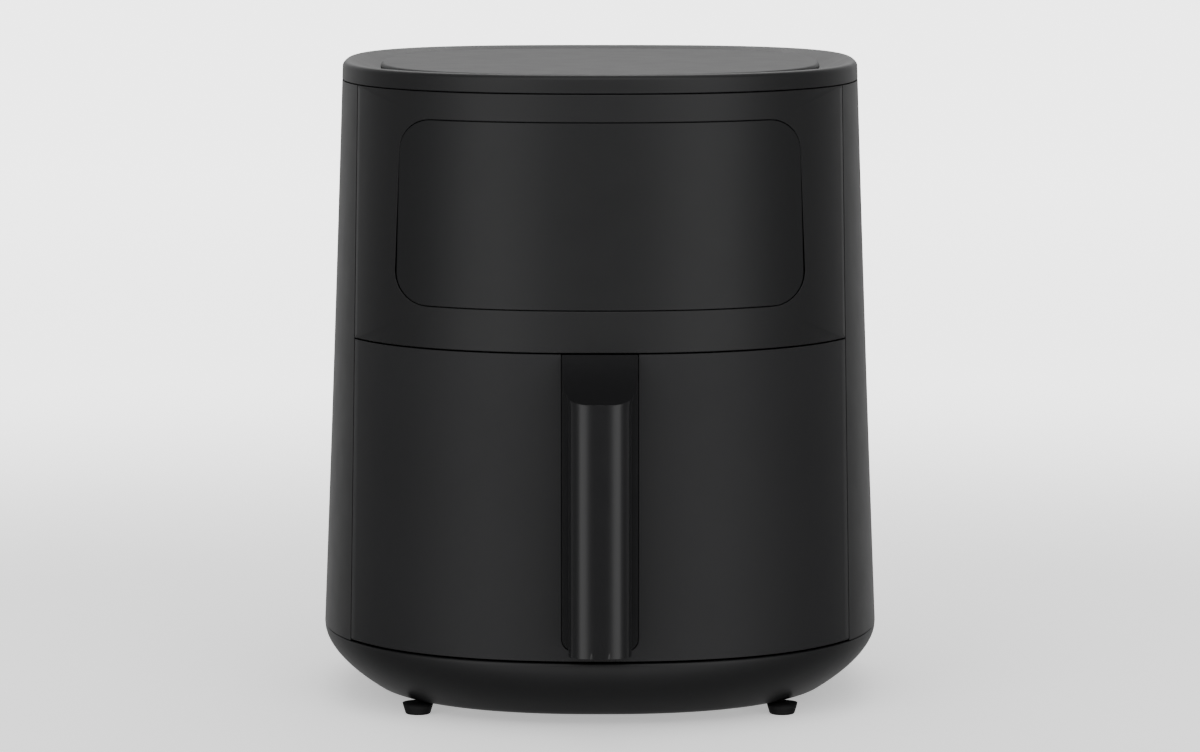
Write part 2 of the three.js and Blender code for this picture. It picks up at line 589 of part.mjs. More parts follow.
/** The crisper plate: a rolled rim round a pierced tray, a raised oval centre, ribs and two pierced wings. */
function crisperPlate() {
  const plan = { ratio: PLATE_DEPTH_HALF / PLATE_HALF, front: 4.5, back: 4.5, y: PAN_Y };
  let plate = planSolid([
    [0, PLATE_Z + 4.6], [24, PLATE_Z + 4.6], [28, PLATE_Z + 1], [PLATE_HALF - 9, PLATE_Z + 1],
    [PLATE_HALF - 5, PLATE_Z + 5], [PLATE_HALF - 1.4, PLATE_Z + 5], [PLATE_HALF, PLATE_Z + 6.4],
    [PLATE_HALF - 1.4, PLATE_Z + 7.6], [PLATE_HALF - 6, PLATE_Z + 7.2], [PLATE_HALF - 10, PLATE_Z + 3],
    [28.6, PLATE_Z + 3], [24.8, PLATE_Z + 6.6], [0, PLATE_Z + 6.6],
  ], { ...plan, segments: 32 });
  const slots = 8;
  for (let i = 0; i < slots; i += 1) {
    const angle = ((i + 0.5) * 2 * Math.PI) / slots;
    for (const [radius, length] of [[42, 16], [68, 18]]) {
      const slot = new THREE.BoxGeometry(length, 4.6, 20)
        .rotateZ(0.32)
        .translate(radius, 0, PLATE_Z + 2)
        .rotateZ(angle)
        .translate(0, PAN_Y, 0);
      plate = plate.subtract(solid(slot));
    }
  }
  const wings = new THREE.Shape();
  wings.absellipse(0, PAN_Y, WING_REACH, 52, 0, 2 * Math.PI, false, 0);
  let wing = prismZ(wings, PLATE_Z + 5.4, PLATE_Z + 7, 32)
    .subtract(box(-PLATE_HALF + 3, PLATE_HALF - 3, -200, 200, PLATE_Z, PLATE_Z + 10));
  for (const x of [-1, 1]) {
    for (const y of [-1, 1]) {
      const [holeX, holeY] = [x * 102, PAN_Y + y * 14];
      wing = wing.subtract(box(holeX - 3, holeX + 3, holeY - 5, holeY + 5, PLATE_Z, PLATE_Z + 10));
    }
  }
  return plate.add(wing);
}

const PLATE_FOOT_X = 78;
const PLATE_FOOT_Y = 80;
const plateCorners = [
  ['front_left', -1, -1], ['front_right', 1, -1], ['rear_left', -1, 1], ['rear_right', 1, 1],
];
let plate = crisperPlate();
for (const [, x, y] of plateCorners) {
  const [footX, footY] = [x * PLATE_FOOT_X, PAN_Y + y * PLATE_FOOT_Y];
  plate = plate.subtract(box(footX - 5.3, footX + 5.3, footY - 5.3, footY + 5.3, PLATE_Z - 5, PLATE_Z + 12));
}
add('crisper_plate', plate, COATED);

/** A corner foot: a soft block under the plate, with a neck through it and a cap on top. */
plateCorners.forEach(([name, x, y]) => {
  const [footX, footY] = [x * PLATE_FOOT_X, PAN_Y + y * PLATE_FOOT_Y];
  const foot = box(footX - 7.5, footX + 7.5, footY - 7.5, footY + 7.5, PLATE_Z - 9, PLATE_Z + 0.6)
    .add(box(footX - 5, footX + 5, footY - 5, footY + 5, PLATE_Z, PLATE_Z + 9))
    .add(box(footX - 8, footX + 8, footY - 8, footY + 8, PLATE_Z + 8, PLATE_Z + 10.5));
  add(`plate_foot_${name}`, foot, RUBBER);
});

export default group;
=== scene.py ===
import json
import math

import bmesh
import bpy
import numpy as np
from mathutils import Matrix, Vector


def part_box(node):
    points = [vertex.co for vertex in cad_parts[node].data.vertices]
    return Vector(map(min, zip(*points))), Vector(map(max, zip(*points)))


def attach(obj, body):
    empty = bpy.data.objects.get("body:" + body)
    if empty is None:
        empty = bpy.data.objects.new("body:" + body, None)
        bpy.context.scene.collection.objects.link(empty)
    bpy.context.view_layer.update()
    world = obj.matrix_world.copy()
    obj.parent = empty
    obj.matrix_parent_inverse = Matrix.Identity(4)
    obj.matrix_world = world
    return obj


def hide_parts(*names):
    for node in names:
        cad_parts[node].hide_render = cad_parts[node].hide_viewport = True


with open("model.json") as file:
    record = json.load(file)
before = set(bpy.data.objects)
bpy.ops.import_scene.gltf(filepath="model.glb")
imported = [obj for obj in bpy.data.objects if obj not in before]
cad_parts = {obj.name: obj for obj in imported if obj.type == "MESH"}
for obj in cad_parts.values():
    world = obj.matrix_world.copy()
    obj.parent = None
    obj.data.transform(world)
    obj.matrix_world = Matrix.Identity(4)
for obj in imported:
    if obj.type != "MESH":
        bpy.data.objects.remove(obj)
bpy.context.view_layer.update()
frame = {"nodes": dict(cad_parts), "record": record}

# ---- Measures taken from the frame, in metres ----

MM = 0.001
SHELL_LOW, SHELL_HIGH = (np.array(corner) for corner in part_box("outer_shell"))
BASE_LOW, BASE_HIGH = (np.array(corner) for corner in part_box("base_tray"))
RING_LOW, RING_HIGH = (np.array(corner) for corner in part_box("top_ring"))
LENS_LOW, LENS_HIGH = (np.array(corner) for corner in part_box("display_lens"))
FASCIA_LOW, FASCIA_HIGH = (np.array(corner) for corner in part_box("front_fascia"))
FRONT_LOW, FRONT_HIGH = (np.array(corner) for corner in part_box("drawer_front"))
PAN_LOW, PAN_HIGH = (np.array(corner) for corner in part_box("pan"))
PLATE_LOW, PLATE_HIGH = (np.array(corner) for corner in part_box("crisper_plate"))
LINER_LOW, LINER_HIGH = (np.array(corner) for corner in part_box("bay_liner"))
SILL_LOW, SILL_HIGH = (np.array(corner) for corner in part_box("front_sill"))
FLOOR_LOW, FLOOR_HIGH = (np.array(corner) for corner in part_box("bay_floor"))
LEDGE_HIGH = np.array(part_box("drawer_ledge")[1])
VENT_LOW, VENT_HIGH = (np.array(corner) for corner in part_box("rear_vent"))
CORNERS = ("front_left", "front_right", "rear_left", "rear_right")

SHOULDER_Z = BASE_HIGH[2]
HALF_WIDTH = 155 * MM
DEPTH_RATIO = 165 / 155
CENTRE_Y = RING_LOW[1] + (RING_HIGH[1] - RING_LOW[1]) / 2
FRONT_POWER = 2.3
BACK_POWER = 2.9
TAPER = 0.041          # half-width lost for each metre of height
EASE = 0.013           # and how that eases off, for each metre squared
WALL = 2.6 * MM
FIT = 0.4 * MM         # the open line between two neighbouring covers
SEAM_BOTTOM = 137 * MM  # half the width between the front seams, at the shoulder
SEAM_TOP = 132.5 * MM   # and under the top ring
SEAM_Z = RING_LOW[2]

# ---- Plan and profile formulas ----


def half_width(z):
    """Half the housing's width at height z: it narrows upwards, by less and less."""
    rise = z - SHOULDER_Z
    return HALF_WIDTH - TAPER * rise + EASE * rise * rise


def seam_half(z):
    """Half the width between the two front seams at height z, a straight slope."""
    return SEAM_BOTTOM + (SEAM_TOP - SEAM_BOTTOM) * (z - SHOULDER_Z) / (SEAM_Z - SHOULDER_Z)


def front_y(x, half):
    """The housing's front surface: y on the superellipse |x/a|^p + |y/b|^p = 1, for half-width a."""
    share = np.clip(1 - np.abs(x / half) ** FRONT_POWER, 0, None)
    return CENTRE_Y - half * DEPTH_RATIO * share ** (1 / FRONT_POWER)


def oval(turn, half, ratio=DEPTH_RATIO, front=FRONT_POWER, back=BACK_POWER, centre=None):
    """Plan point at an angle: cosine and sine each raised to 2/p, keeping their signs, then scaled."""
    u, v = np.cos(turn), np.sin(turn)
    power = np.where(v < 0, 2 / front, 2 / back)
    x = half * np.sign(u) * np.abs(u) ** power
    y = half * ratio * np.sign(v) * np.abs(v) ** power
    return x, y + (CENTRE_Y if centre is None else centre)


def arc(centre_a, centre_b, radius, start, end, steps=6):
    """Points of a circular arc, between two angles in degrees."""
    angle = np.radians(np.linspace(start, end, steps))
    return np.stack([centre_a + radius * np.cos(angle), centre_b + radius * np.sin(angle)], axis=1)


def polyline(*parts):
    """Joins points and arcs into one outline."""
    return np.concatenate([np.atleast_2d(np.asarray(part, dtype=float)) for part in parts])


def side_outline(half_low, half_high, low, high, radius, along=30, corner=8):
    """A closed outline in x and z: a trapezium with round corners, with the same count on every side."""
    def side(start, end):
        share = np.linspace(0, 1, along, endpoint=False)[:, None]
        return np.array(start) + (np.array(end) - np.array(start)) * share

    r = radius
    parts = [
        side((-half_low + r, low), (half_low - r, low)),
        arc(half_low - r, low + r, r, -90, 0, corner)[:-1],
        side((half_low, low + r), (half_high, high - r)),
        arc(half_high - r, high - r, r, 0, 90, corner)[:-1],
        side((half_high - r, high), (-half_high + r, high)),
        arc(-half_high + r, high - r, r, 90, 180, corner)[:-1],
        side((-half_high, high - r), (-half_low, low + r)),
        arc(-half_low + r, low + r, r, 180, 270, corner)[:-1],
    ]
    return np.concatenate(parts)


# ---- Mesh building ----


def grid_faces(rows, cols, wrap_rows=False, wrap_cols=False):
    """The quads of a grid of points, joined end to end along either side when asked."""
    i, j = np.meshgrid(np.arange(rows if wrap_rows else rows - 1),
                       np.arange(cols if wrap_cols else cols - 1), indexing="ij")
    next_i, next_j = (i + 1) % rows, (j + 1) % cols
    return np.stack([i * cols + j, next_i * cols + j, next_i * cols + next_j, i * cols + next_j], axis=-1)


def wall(outer, inner, keep=None, wrap=False):
    """Two matching grids, one for each face of a wall, joined round every free edge."""
    rows, cols = outer.shape[:2]
    count = rows * cols
    faces = grid_faces(rows, cols, wrap)
    faces = faces.reshape(-1, 4) if keep is None else faces[keep]
    edges = np.concatenate([faces[:, [0, 1]], faces[:, [1, 2]], faces[:, [2, 3]], faces[:, [3, 0]]])
    low, high = edges.min(axis=1), edges.max(axis=1)
    _, place, used = np.unique(low * count + high, return_inverse=True, return_counts=True)
    free = edges[used[place.ravel()] == 1]
    sides = np.stack([free[:, 1], free[:, 0], free[:, 0] + count, free[:, 1] + count], axis=-1)
    points = np.concatenate([outer.reshape(-1, 3), inner.reshape(-1, 3)])
    return points, np.concatenate([faces, faces[:, ::-1] + count, sides])


def piece(name, points, faces, body, slot, bevel=0.0, replaces=()):
    mesh = bpy.data.meshes.new(name)
    mesh.from_pydata(np.asarray(points).tolist(), [], np.asarray(faces).tolist())
    edit = bmesh.new()
    edit.from_mesh(mesh)
    bmesh.ops.remove_doubles(edit, verts=edit.verts, dist=2e-6)
    bmesh.ops.dissolve_degenerate(edit, edges=edit.edges, dist=1e-7)
    bmesh.ops.recalc_face_normals(edit, faces=edit.faces)
    for face in edit.faces:
        face.smooth = True
    edit.to_mesh(mesh)
    edit.free()
    obj = bpy.data.objects.new(name, mesh)
    bpy.context.scene.collection.objects.link(obj)
    if bevel:
        rounding = obj.modifiers.new("edges", "BEVEL")
        rounding.width = bevel
        rounding.segments = 3
        rounding.limit_method = "ANGLE"
        rounding.angle_limit = math.radians(32)
        rounding.use_clamp_overlap = True
    weighting = obj.modifiers.new("normals", "WEIGHTED_NORMAL")
    weighting.weight = 60
    mesh.materials.append(MATERIALS[slot])
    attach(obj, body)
    if replaces:
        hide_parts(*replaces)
    return obj


ROUND = dict(ratio=1, front=2, back=2, centre=0)  # a plain circle in plan, for turned()


def turned(profile, closed=False, segments=160, **plan):
    """Carries a profile of half-width and height round the oval plan."""
    turn = np.linspace(0, 2 * np.pi, segments, endpoint=False)
    x, y = oval(turn[:, None], profile[None, :, 0], **plan)
    z = np.broadcast_to(profile[None, :, 1], x.shape)
    points = np.stack([x, y, z], axis=-1)
    return points.reshape(-1, 3), grid_faces(*x.shape, wrap_rows=True, wrap_cols=closed).reshape(-1, 4)


def on_front(outline, depth):
    """Lays points given in x and z on the housing's front surface, sunk by a depth."""
    x, z = outline[..., 0], outline[..., 1]
    return np.stack([x, front_y(x, half_width(z) - depth), z], axis=-1)


# ---- Materials ----

MATERIALS = {}


def principled(name):
    """A new material, with its node tree and its shader."""
    material = bpy.data.materials.new(name)
    material.use_nodes = True
    tree = material.node_tree
    shader = next(node for node in tree.nodes if node.type == "BSDF_PRINCIPLED")
    return material, tree, shader


def noise(tree, scale, detail, stretch=(1, 1, 1)):
    """Noise on Object coordinates, at a scale in cells for each metre."""
    place = tree.nodes.new("ShaderNodeTexCoord")
    mapping = tree.nodes.new("ShaderNodeMapping")
    mapping.inputs["Scale"].default_value = stretch
    texture = tree.nodes.new("ShaderNodeTexNoise")
    texture.inputs["Scale"].default_value = scale
    texture.inputs["Detail"].default_value = detail
    tree.links.new(place.outputs["Object"], mapping.inputs["Vector"])
    tree.links.new(mapping.outputs["Vector"], texture.inputs["Vector"])
    return texture.outputs["Fac"]


def spread(tree, value, low, high):
    """Maps a noise value onto a range."""
    node = tree.nodes.new("ShaderNodeMapRange")
    node.inputs["From Min"].default_value = 0.3
    node.inputs["From Max"].default_value = 0.7
    node.inputs["To Min"].default_value = low
    node.inputs["To Max"].default_value = high
    tree.links.new(value, node.inputs["Value"])
    return node.outputs["Result"]


def tinted(tree, value, dark, light):
    """Runs a value between two colours."""
    ramp = tree.nodes.new("ShaderNodeValToRGB")
    ramp.color_ramp.elements[0].position = 0.3
    ramp.color_ramp.elements[1].position = 0.7
    ramp.color_ramp.elements[0].color = (*dark, 1)
    ramp.color_ramp.elements[1].color = (*light, 1)
    tree.links.new(value, ramp.inputs["Fac"])
    return ramp.outputs["Color"]


def moulded(name, colour, roughness, grain, depth, specular=0.5, metallic=0.0, stretch=(1, 1, 1)):
    """A moulded or coated surface: spark-eroded grain, slow changes in gloss, and a faint colour drift."""
    material, tree, shader = principled(name)
    colour = np.array(colour)
    slow = noise(tree, 9, 3)
    fine = noise(tree, grain, 4, stretch)
    tree.links.new(tinted(tree, slow, colour * 0.95, colour * 1.05), shader.inputs["Base Color"])
    cloud = noise(tree, 60, 5)
    tree.links.new(spread(tree, cloud, roughness - 0.015, roughness + 0.015), shader.inputs["Roughness"])
    bump = tree.nodes.new("ShaderNodeBump")
    bump.inputs["Strength"].default_value = 0.6
    bump.inputs["Distance"].default_value = depth
    tree.links.new(fine, bump.inputs["Height"])
    tree.links.new(bump.outputs["Normal"], shader.inputs["Normal"])
    shader.inputs["Specular IOR Level"].default_value = specular
    shader.inputs["Metallic"].default_value = metallic
    MATERIALS[name] = material


moulded("body", (0.0058, 0.0058, 0.0061), 0.44, 2600, 0.00003, specular=0.19)
moulded("panel", (0.0085, 0.0085, 0.0090), 0.5, 2200, 0.00005, specular=0.15)
moulded("dark_plastic", (0.0045, 0.0045, 0.0048), 0.5, 2200, 0.00003, specular=0.12)
# The bay's plastic is given about twice the body's colour and more specular, as painted light: it stands in for
# light that the shaded bay does not get, so the interior does not render black.
moulded("bay_plastic", (0.0125, 0.0125, 0.0130), 0.46, 2000, 0.00004, specular=0.3)
moulded("handle", (0.0050, 0.0050, 0.0054), 0.24, 2600, 0.00002, specular=0.26)
moulded("lens", (0.0044, 0.0045, 0.0048), 0.42, 400, 0.000001, specular=0.2)
moulded("coated_steel", (0.0150, 0.0165, 0.0215), 0.34, 1500, 0.00003, specular=0.5, metallic=0.35)
moulded("steel", (0.42, 0.42, 0.43), 0.3, 900, 0.00001, metallic=1.0, stretch=(1, 1, 14))
moulded("rubber", (0.0040, 0.0040, 0.0042), 0.68, 1800, 0.00005, specular=0.14)
moulded("circuit_board", (0.012, 0.085, 0.035), 0.4, 700, 0.00002)

for entry in frame["record"]["subparts"]:
    node = frame["nodes"][entry["node"]]
    node.data.materials.clear()
    node.data.materials.append(MATERIALS[entry["material_slot"]])

# ---- Housing covers ----

LENS_HALF_LOW = 110.3 * MM
LENS_HALF_HIGH = 107.6 * MM
LENS_CORNER = 17 * MM
SIDE_COLUMNS = 70      # columns of the casing's grid along each side
WINDOW_COLUMNS = 24    # and across the vent's window
WINDOW_LAP = 2 * MM    # how far the vent's plate reaches past the window


def casing():
    """The wrap-round cover: the oval plan from one front seam, round the back, to the other.

    The grid leaves out a window for the vent.
    """
    window_low, window_high = VENT_LOW[2] + WINDOW_LAP, VENT_HIGH[2] - WINDOW_LAP
    z = np.unique(np.concatenate([np.linspace(SHELL_LOW[2], SHELL_HIGH[2], 44), [window_low, window_high]]))
    half = half_width(z)
    first = -np.arccos(np.clip((seam_half(z) / half) ** (FRONT_POWER / 2), -1, 1))
    window = np.arccos(np.clip(((VENT_HIGH[0] - WINDOW_LAP) / half) ** (BACK_POWER / 2), 0, 1))
    side = np.linspace(0, 1, SIDE_COLUMNS)[:, None]
    across = np.linspace(0, 1, WINDOW_COLUMNS)[:-1, None]
    turn = np.concatenate([
        first + (window - first) * side[:-1],
        window + (np.pi - 2 * window) * across,
        np.pi - window + (window - first) * side,
    ])
    outer = np.stack([*oval(turn, half), np.broadcast_to(z, turn.shape)], axis=-1)
    inner = np.stack([*oval(turn, half - WALL), np.broadcast_to(z, turn.shape)], axis=-1)
    keep = np.ones((len(turn) - 1, len(z) - 1), dtype=bool)
    middle = (z[:-1] + z[1:]) / 2
    in_height = (middle > window_low) & (middle < window_high)
    keep[SIDE_COLUMNS - 1:SIDE_COLUMNS + WINDOW_COLUMNS - 2, in_height] = False
    points, faces = wall(outer, inner, keep)
    return piece("casing", points, faces, "housing", "body", 0.5 * MM, ["outer_shell"])


def fascia():
    """The upper front cover: a band on the front surface, from the lens opening to the cover's own edge."""
    low, high = FASCIA_LOW[2], FASCIA_HIGH[2]
    edge = side_outline(seam_half(low) - FIT, seam_half(high) - FIT, low, high, 0.5 * MM)
    gap = 0.5 * MM
    hole = side_outline(LENS_HALF_LOW + gap, LENS_HALF_HIGH + gap, LENS_LOW[2] - gap, LENS_HIGH[2] + gap,
                        LENS_CORNER + gap)
    share = np.linspace(0, 1, 16)[None, :, None]
    flat = hole[:, None, :] * (1 - share) + edge[:, None, :] * share
    points, faces = wall(on_front(flat, 0), on_front(flat, WALL), wrap=True)
    return piece("fascia", points, faces, "housing", "body", 0.45 * MM, ["front_fascia"])


def rounded_fill(half_low, half_high, low, high, radius, across=90, rows=40):
    """A grid over a round-cornered trapezium: each level row runs between the outline's two sides."""
    level = np.unique(np.concatenate([
        low + radius * (1 - np.cos(np.linspace(0, np.pi / 2, 12))),
        np.linspace(low + radius, high - radius, rows),
        high - radius * (1 - np.cos(np.linspace(0, np.pi / 2, 12))),
    ]).round(9))
    reach = half_low + (half_high - half_low) * (level - low) / (high - low)
    into = np.clip(np.maximum(low + radius - level, level - high + radius), 0, radius)
    reach = reach - radius + np.sqrt(np.clip(radius ** 2 - into ** 2, 0, None))
    x = np.linspace(-1, 1, across)[:, None] * reach
    return np.stack([x, np.broadcast_to(level, x.shape)], axis=-1)


def lens():
    """The display window: a filled outline on the front surface, a hair below the cover round it."""
    flat = rounded_fill(LENS_HALF_LOW, LENS_HALF_HIGH, LENS_LOW[2], LENS_HIGH[2], LENS_CORNER)
    points, faces = wall(on_front(flat, 0.1 * MM), on_front(flat, 1.8 * MM))
    return piece("lens", points, faces, "housing", "lens", 0.35 * MM, ["display_lens"])


def lens_seat():
    """The dark ledge behind the lens, so that the groove round it has a floor."""
    lap = 4 * MM
    flat = rounded_fill(LENS_HALF_LOW + lap, LENS_HALF_HIGH + lap, LENS_LOW[2] - lap, LENS_HIGH[2] + lap,
                        LENS_CORNER + lap)
    points, faces = wall(on_front(flat, WALL + 0.2 * MM), on_front(flat, WALL + 1.2 * MM))
    return piece("lens_seat", points, faces, "housing", "dark_plastic")


def top_ring():
    """The top ring: an upright band, a round lip, a slope inwards and a narrow seat for the inset top."""
    low, high = RING_LOW[2], RING_HIGH[2]
    half = half_width(high)
    lip = 2.8 * MM
    profile = polyline(
        (half_width(low) - 0.5 * MM, low), (half_width(low), low + 0.5 * MM),
        arc(half - lip + 0.1 * MM, high - lip, lip, 0, 90, 9),
        (half - 5 * MM, high - 0.3 * MM), (half - 11 * MM, high - 3.2 * MM),
        (half - 18.4 * MM, high - 6.6 * MM), (half - 20 * MM, high - 7 * MM),
        (half - 26 * MM, high - 7 * MM), (half - 26 * MM, high - 9.2 * MM),
        (half - 6 * MM, high - 9.2 * MM), (half - 6 * MM, low),
    )
    points, faces = turned(profile, closed=True)
    return piece("top_ring_shell", points, faces, "housing", "body", replaces=["top_ring"])


def top_panel():
    """The inset top: a low crowned disc in the oval plan with a round edge."""
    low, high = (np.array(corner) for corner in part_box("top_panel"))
    half = high[0]
    edge = 2.2 * MM
    crown = np.linspace(half - edge, 0, 18)
    rise = 0.6 * MM * (1 - (crown / half) ** 2)
    profile = polyline(
        (0, low[2]), (half - 0.6 * MM, low[2]),
        arc(half - edge, high[2] - edge - 0.6 * MM, edge, 0, 90, 8),
        np.stack([crown, high[2] - 0.6 * MM + rise], axis=1)[1:],
    )
    points, faces = turned(profile)
    return piece("inset_top", points, faces, "housing", "panel", replaces=["top_panel"])


def base_tray():
    """The base: from the shoulder it draws in on a long curve to a flat underside."""
    low, high = BASE_LOW[2], BASE_HIGH[2]
    half = HALF_WIDTH - 0.1 * MM
    drop = np.linspace(0, 1, 22)
    inward = 27 * MM * drop ** 1.75
    outside = np.stack([half - inward, high - 0.8 * MM - (high - low - 2.2 * MM) * drop], axis=1)
    profile = polyline(
        (0, low), (half - 36 * MM, low), outside[::-1][:1] - (3 * MM, 1.1 * MM), outside[::-1],
        (half - 0.5 * MM, high), (half - 2.9 * MM, high), (half - 4.5 * MM, high - 5.5 * MM),
        (half - 21 * MM, high - 25 * MM), (0, high - 30 * MM),
    )
    points, faces = turned(profile)
    return piece("base_shell", points, faces, "housing", "body", replaces=["base_tray"])


def foot(name):
    """A round rubber foot: a dish with a soft lower edge."""
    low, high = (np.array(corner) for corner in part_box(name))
    radius = (high[0] - low[0]) / 2
    middle = (low + high) / 2
    soft = 1.4 * MM
    profile = polyline(
        (0, 0), arc(radius * 0.84 - soft, soft, soft, -90, 0, 6),
        (radius * 0.93, high[2] * 0.6), (radius, high[2]), (0, high[2]),
    )
    points, faces = turned(profile, segments=48, **ROUND)
    points = points + (middle[0], middle[1], 0)
    return piece(name + "_pad", points, faces, "housing", "rubber", replaces=[name])


# ---- Drawer ----

CHANNEL_HALF = 20.8 * MM
CHANNEL_BOTTOM = 46.5 * MM
CHANNEL_CORNER = 6.5 * MM


def horseshoe(half_low, half_high, low, high, radius, along, corner):
    """An open outline in x and z: down the left side, round the bottom and up the right side."""
    def side(start, end, count):
        share = np.linspace(0, 1, count, endpoint=False)[:, None]
        return np.array(start) + (np.array(end) - np.array(start)) * share

    left = side((-half_high, high), (-half_low, low + radius), along)
    turn_left = arc(-half_low + radius, low + radius, radius, 180, 270, corner)[:-1]
    bottom = side((-half_low + radius, low), (half_low - radius, low), along)
    turn_right = arc(half_low - radius, low + radius, radius, -90, 0, corner)[:-1]
    right = side((half_low, low + radius), (half_high, high), along)
    return np.concatenate([left, turn_left, bottom, turn_right, right, [[half_high, high]]])


def drawer_front():
    """The drawer's front cover: a horseshoe band between the handle's channel and the cover's edge."""
    low, high = FRONT_LOW[2], FRONT_HIGH[2]
    channel = horseshoe(CHANNEL_HALF, CHANNEL_HALF, CHANNEL_BOTTOM, high, CHANNEL_CORNER, 40, 10)
    edge = horseshoe(seam_half(low) - FIT, seam_half(high) - FIT, low, high, 0.8 * MM, 40, 10)
    share = np.linspace(0, 1, 56)[None, :, None] ** 1.2
    flat = channel[:, None, :] * (1 - share) + edge[:, None, :] * share
    points, faces = wall(on_front(flat, 0), on_front(flat, WALL))
    return piece("drawer_cover", points, faces, "drawer", "panel", 0.7 * MM, ["drawer_front"])


# Heights and distances on the handle are measured from its top and from the drawer's front.
HANDLE_HALF = 20.3 * MM
HANDLE_PROUD = 42 * MM
HANDLE_FRONT = 24 * MM  # the sides run straight out to here, and the front is rounded beyond
HANDLE_POWER = 3
HANDLE_LENGTH = 158 * MM
GRIP_HALF = 16.8 * MM
WAIST_TOP = 8 * MM      # where the handle starts to narrow, below its top
WAIST_LOW = 27 * MM     # and where it is down to the grip's width
SCOOP_R = 139 * MM      # the thumb scoop's floor is part of a level cylinder of this radius
SCOOP_PROUD = 88.4 * MM  # and its axis lies here
SCOOP_Z = 107.3 * MM
FINGER_TOP = 44 * MM
FINGER_LOW = 144 * MM
FINGER_DEPTH = 23 * MM
DRAWER_TOP = FRONT_HIGH[2]
LEAN_HIGH = 206 * MM    # the handle leans as the drawer's front does between these heights
LEAN_LOW = 42 * MM
PANEL_TOP_Y = float(front_y(0, half_width(LEAN_HIGH)))
PANEL_LOW_Y = float(front_y(0, half_width(LEAN_LOW)))
HANDLE_LEAN = -math.atan((PANEL_TOP_Y - PANEL_LOW_Y) / (LEAN_HIGH - LEAN_LOW))


def leaned(points):
    """Turns points from the handle's own frame, whose z runs along the grip, to the drawer front's lean."""
    y, z = points[..., 1], points[..., 2]
    c, s = math.cos(HANDLE_LEAN), math.sin(HANDLE_LEAN)
    return np.stack([points[..., 0], PANEL_TOP_Y + y * c - z * s, DRAWER_TOP + y * s + z * c], axis=-1)


def smooth(low, high, value):
    """A soft step from 0 to 1 between two values."""
    share = np.clip((value - low) / (high - low), 0, 1)
    return share * share * (3 - 2 * share)


def handle_half(z):
    """Half the handle's width at a height: full at its top, drawn in to the grip below the thumb scoop."""
    return HANDLE_HALF - (HANDLE_HALF - GRIP_HALF) * smooth(WAIST_TOP, WAIST_LOW, -z)


def scoop_z(proud):
    """Height of the thumb scoop's floor: the lower arc of a level cylinder, cut off at the handle's top."""
    arc_z = SCOOP_Z - np.sqrt(np.clip(SCOOP_R ** 2 - (proud - SCOOP_PROUD) ** 2, 0, None))
    return np.minimum(arc_z, 0)


def handle():
    """The handle: a section carried down its length, with straight sides and a rounded front.

    The front follows u^3 + p^3 = 1, where u is the share of the half-width and p the share of the way from the
    ends of the straight sides to the foremost line. The back of the section steps forward and back again, which
    leaves the finger gap.
    """
    soft = 9 * MM          # the radius of the finger gap's inner corners
    turn = np.linspace(0, np.pi / 2, 9)
    step_out = FINGER_DEPTH - soft + soft * np.sin(turn)
    step_drop = soft * (1 - np.cos(turn))
    waist = np.linspace(-26 * MM, -FINGER_TOP + 4 * MM, 6)
    back = np.concatenate([0 * waist, [0], step_out, step_out[::-1], np.zeros(5)])
    level = np.concatenate([waist, [-FINGER_TOP], -FINGER_TOP - step_drop, -FINGER_LOW + step_drop[::-1],
                            [-FINGER_LOW], np.linspace(-FINGER_LOW - 3 * MM, -HANDLE_LENGTH, 4)])
    front_share = np.cos(np.linspace(0, np.pi / 2, 34))
    bulge = (1 - front_share ** HANDLE_POWER) ** (1 / HANDLE_POWER)
    front = HANDLE_FRONT + (HANDLE_PROUD - HANDLE_FRONT) * bulge
    side = np.linspace(0, 1, 10, endpoint=False)
    share = np.concatenate([np.ones_like(side), front_share])

    def section(start, z):
        proud = np.concatenate([start + (HANDLE_FRONT - start) * side, front])
        height = scoop_z(proud) if z is None else np.full_like(proud, z)
        return np.stack([share, -proud, height], axis=-1)

    lower = np.stack([section(start, z) for start, z in zip(back, level)])
    blend = np.linspace(0, 1, 14)[:-1, None, None]
    upper = section(0.0, None) * (1 - blend) + lower[:1] * blend
    right = np.concatenate([upper, lower])
    right[..., 0] *= handle_half(right[..., 2])
    left = right[:, ::-1][:, 1:] * (-1, 1, 1)
    rows = np.concatenate([right, left], axis=1)
    count = rows.shape[1]
    faces = grid_faces(rows.shape[0], count, wrap_cols=True).reshape(-1, 4)
    k = np.arange(count // 2)
    caps = [np.stack([base + k, base + k + 1, base + count - 2 - k, base + count - 1 - k], axis=-1)
            for base in (0, (rows.shape[0] - 1) * count)]
    faces = np.concatenate([faces, *caps])
    return piece("grip", leaned(rows).reshape(-1, 3), faces, "drawer", "handle", 0.9 * MM, ["handle"])


def handle_plate():
    """The channel's floor behind the handle, with round lower corners."""
    flat = rounded_fill(HANDLE_HALF, HANDLE_HALF, -158.6 * MM, -0.4 * MM, 6.2 * MM, across=20, rows=12)

    def at(depth):
        return leaned(np.stack([flat[..., 0], np.full(flat.shape[:2], depth), flat[..., 1]], axis=-1))

    points, faces = wall(at(0.5 * MM), at(2.1 * MM))
    return piece("channel_floor", points, faces, "drawer", "handle", 0.4 * MM, ["handle_plate"])


def channel_seat():
    """The dark sheet behind the channel, so that the open line round its floor shows no daylight."""
    half = CHANNEL_HALF + 3 * MM
    flat = rounded_fill(half, half, CHANNEL_BOTTOM - 3 * MM, DRAWER_TOP - 1 * MM, CHANNEL_CORNER,
                        across=20, rows=12)
    points, faces = wall(on_front(flat, WALL + 0.2 * MM), on_front(flat, WALL + 1 * MM))
    return piece("channel_seat", points, faces, "drawer", "dark_plastic")


PAN_PLAN = dict(ratio=119 / 121, front=5, back=5, centre=(PAN_LOW[1] + PAN_HIGH[1]) / 2)


